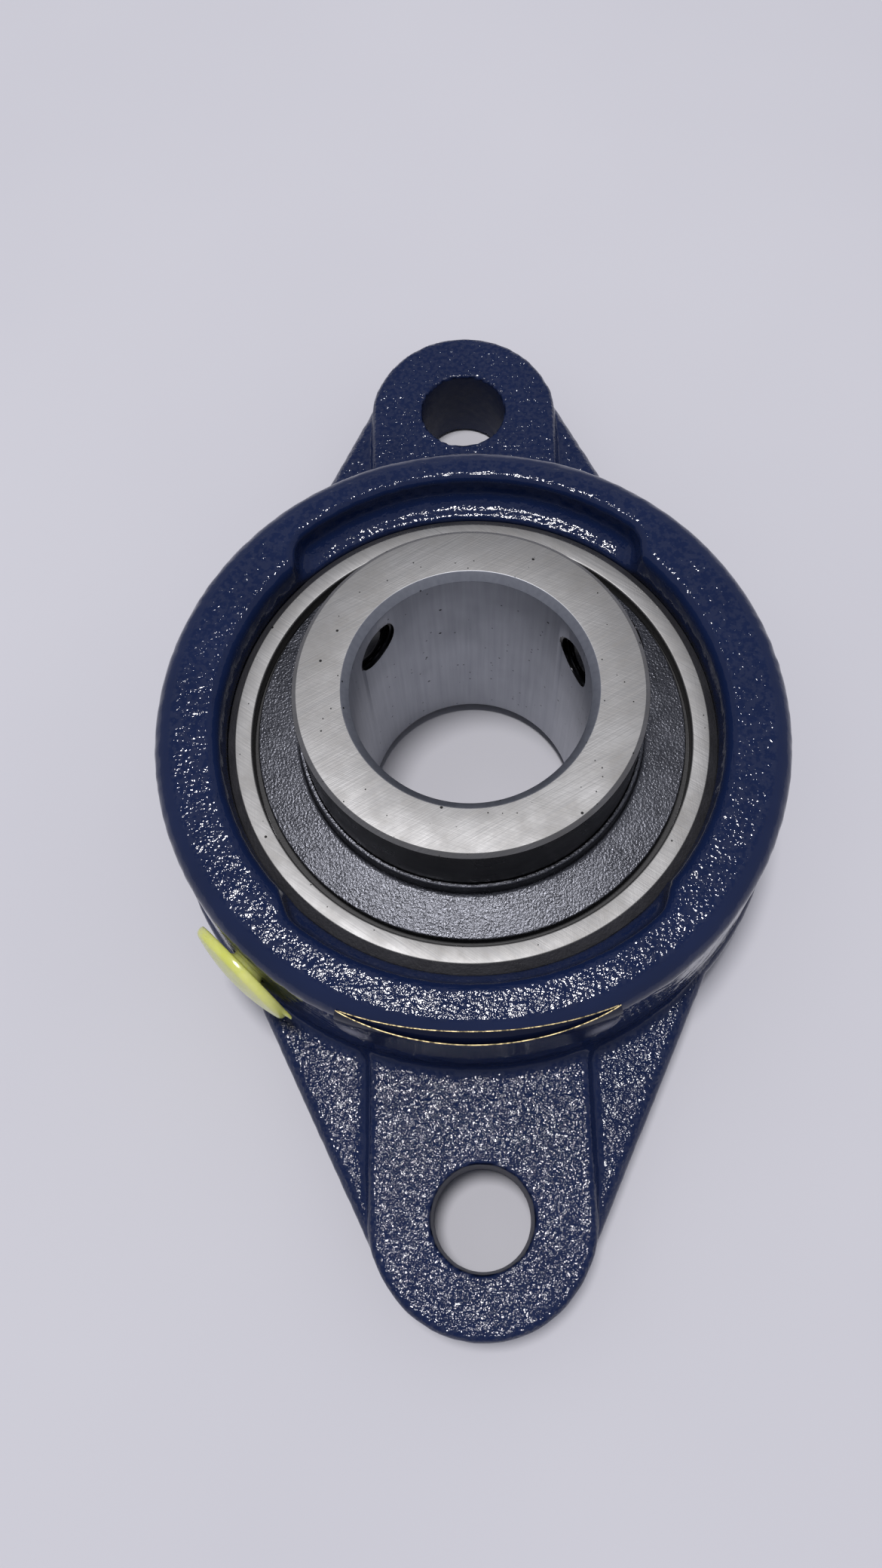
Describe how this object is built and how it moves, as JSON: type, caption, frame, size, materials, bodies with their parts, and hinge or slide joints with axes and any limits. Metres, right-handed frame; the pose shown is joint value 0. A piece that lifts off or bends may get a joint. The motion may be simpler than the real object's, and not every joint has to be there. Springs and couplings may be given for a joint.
{
  "type": "two-bolt flange bearing unit",
  "caption": "Two-bolt rhombic flange bearing unit with a self-aligning sealed ball bearing insert that locks to its shaft with set screws.",
  "frame": {"origin": "on the mounting face, at the bearing axis", "axes": "+Z along the shaft, out of the front of the unit; the two bolt holes lie on the Y axis; +Y is away from the label"},
  "size_m": [0.092, 0.1608, 0.0444],
  "materials": {
    "housing_paint": "gloss paint on an as-cast surface",
    "ring_steel": "ground bearing steel",
    "ball_steel": "lapped",
    "sheet_steel": "pressed sheet",
    "seal_rubber": "moulded",
    "flinger_black": "black stippled coating",
    "screw_steel": "black oxide",
    "plug_plastic": "semi-translucent moulded",
    "label_foil": "foil label with a gold edge, no marks"
  },
  "bodies": {
    "housing": {"housing": "housing_paint", "label": "label_foil"},
    "insert": {"outer_ring": "ring_steel", "seal_front": "seal_rubber", "seal_back": "seal_rubber", "seal_core_front": "sheet_steel", "seal_core_back": "sheet_steel"},
    "rotor": {"inner_ring": "ring_steel", "flinger_front": "flinger_black", "flinger_back": "flinger_black"},
    "cage": {"cage_front": "sheet_steel", "cage_back": "sheet_steel", "cage_rivets": "sheet_steel"},
    "ball_1": {"ball_1": "ball_steel"},
    "ball_2": {"ball_2": "ball_steel"},
    "ball_3": {"ball_3": "ball_steel"},
    "ball_4": {"ball_4": "ball_steel"},
    "ball_5": {"ball_5": "ball_steel"},
    "ball_6": {"ball_6": "ball_steel"},
    "ball_7": {"ball_7": "ball_steel"},
    "ball_8": {"ball_8": "ball_steel"},
    "ball_9": {"ball_9": "ball_steel"},
    "set_screw_1": {"set_screw_1": "screw_steel"},
    "set_screw_2": {"set_screw_2": "screw_steel"},
    "grease_plug": {"grease_plug": "plug_plastic"}
  },
  "joints": [
    {"name": "insert_tilt", "type": "hinge", "parent": "housing", "child": "insert", "pos_m": [0, 0, 0.019], "axis": [1, 0, 0], "range_deg": [-2, 2]},
    {"name": "ring_spin", "type": "hinge", "parent": "insert", "child": "rotor", "pos_m": [0, 0, 0.019], "axis": [0, 0, 1], "continuous": true},
    {"name": "cage_spin", "type": "hinge", "parent": "insert", "child": "cage", "pos_m": [0, 0, 0.019], "axis": [0, 0, 1], "continuous": true},
    {"name": "ball_1_spin", "type": "hinge", "parent": "cage", "child": "ball_1", "pos_m": [0, 0.02675, 0.019], "axis": [0, 0, 1], "continuous": true},
    {"name": "ball_2_spin", "type": "hinge", "parent": "cage", "child": "ball_2", "pos_m": [-0.01719, 0.02049, 0.019], "axis": [0, 0, 1], "continuous": true},
    {"name": "ball_3_spin", "type": "hinge", "parent": "cage", "child": "ball_3", "pos_m": [-0.02634, 0.00464, 0.019], "axis": [0, 0, 1], "continuous": true},
    {"name": "ball_4_spin", "type": "hinge", "parent": "cage", "child": "ball_4", "pos_m": [-0.02317, -0.01337, 0.019], "axis": [0, 0, 1], "continuous": true},
    {"name": "ball_5_spin", "type": "hinge", "parent": "cage", "child": "ball_5", "pos_m": [-0.00915, -0.02514, 0.019], "axis": [0, 0, 1], "continuous": true},
    {"name": "ball_6_spin", "type": "hinge", "parent": "cage", "child": "ball_6", "pos_m": [0.00915, -0.02514, 0.019], "axis": [0, 0, 1], "continuous": true},
    {"name": "ball_7_spin", "type": "hinge", "parent": "cage", "child": "ball_7", "pos_m": [0.02317, -0.01337, 0.019], "axis": [0, 0, 1], "continuous": true},
    {"name": "ball_8_spin", "type": "hinge", "parent": "cage", "child": "ball_8", "pos_m": [0.02634, 0.00464, 0.019], "axis": [0, 0, 1], "continuous": true},
    {"name": "ball_9_spin", "type": "hinge", "parent": "cage", "child": "ball_9", "pos_m": [0.01719, 0.02049, 0.019], "axis": [0, 0, 1], "continuous": true},
    {"name": "set_screw_1_travel", "type": "slide", "parent": "rotor", "child": "set_screw_1", "axis": [-0.9135, -0.4067, 0], "range_m": [-0.0065, 0.0009]},
    {"name": "set_screw_2_travel", "type": "slide", "parent": "rotor", "child": "set_screw_2", "axis": [0.809, -0.5878, 0], "range_m": [-0.0065, 0.0009]},
    {"name": "plug_pull", "type": "slide", "parent": "housing", "child": "grease_plug", "axis": [-0.7071, -0.7071, 0], "range_m": [0, 0.009]}
  ],
  "couplings": [
    {"joint": "cage_spin", "follows": "ring_spin", "ratio": 0.39615},
    {"joint": "ball_1_spin", "follows": "ring_spin", "ratio": -2.3035},
    {"joint": "ball_2_spin", "follows": "ring_spin", "ratio": -2.3035},
    {"joint": "ball_3_spin", "follows": "ring_spin", "ratio": -2.3035},
    {"joint": "ball_4_spin", "follows": "ring_spin", "ratio": -2.3035},
    {"joint": "ball_5_spin", "follows": "ring_spin", "ratio": -2.3035},
    {"joint": "ball_6_spin", "follows": "ring_spin", "ratio": -2.3035},
    {"joint": "ball_7_spin", "follows": "ring_spin", "ratio": -2.3035},
    {"joint": "ball_8_spin", "follows": "ring_spin", "ratio": -2.3035},
    {"joint": "ball_9_spin", "follows": "ring_spin", "ratio": -2.3035}
  ]
}
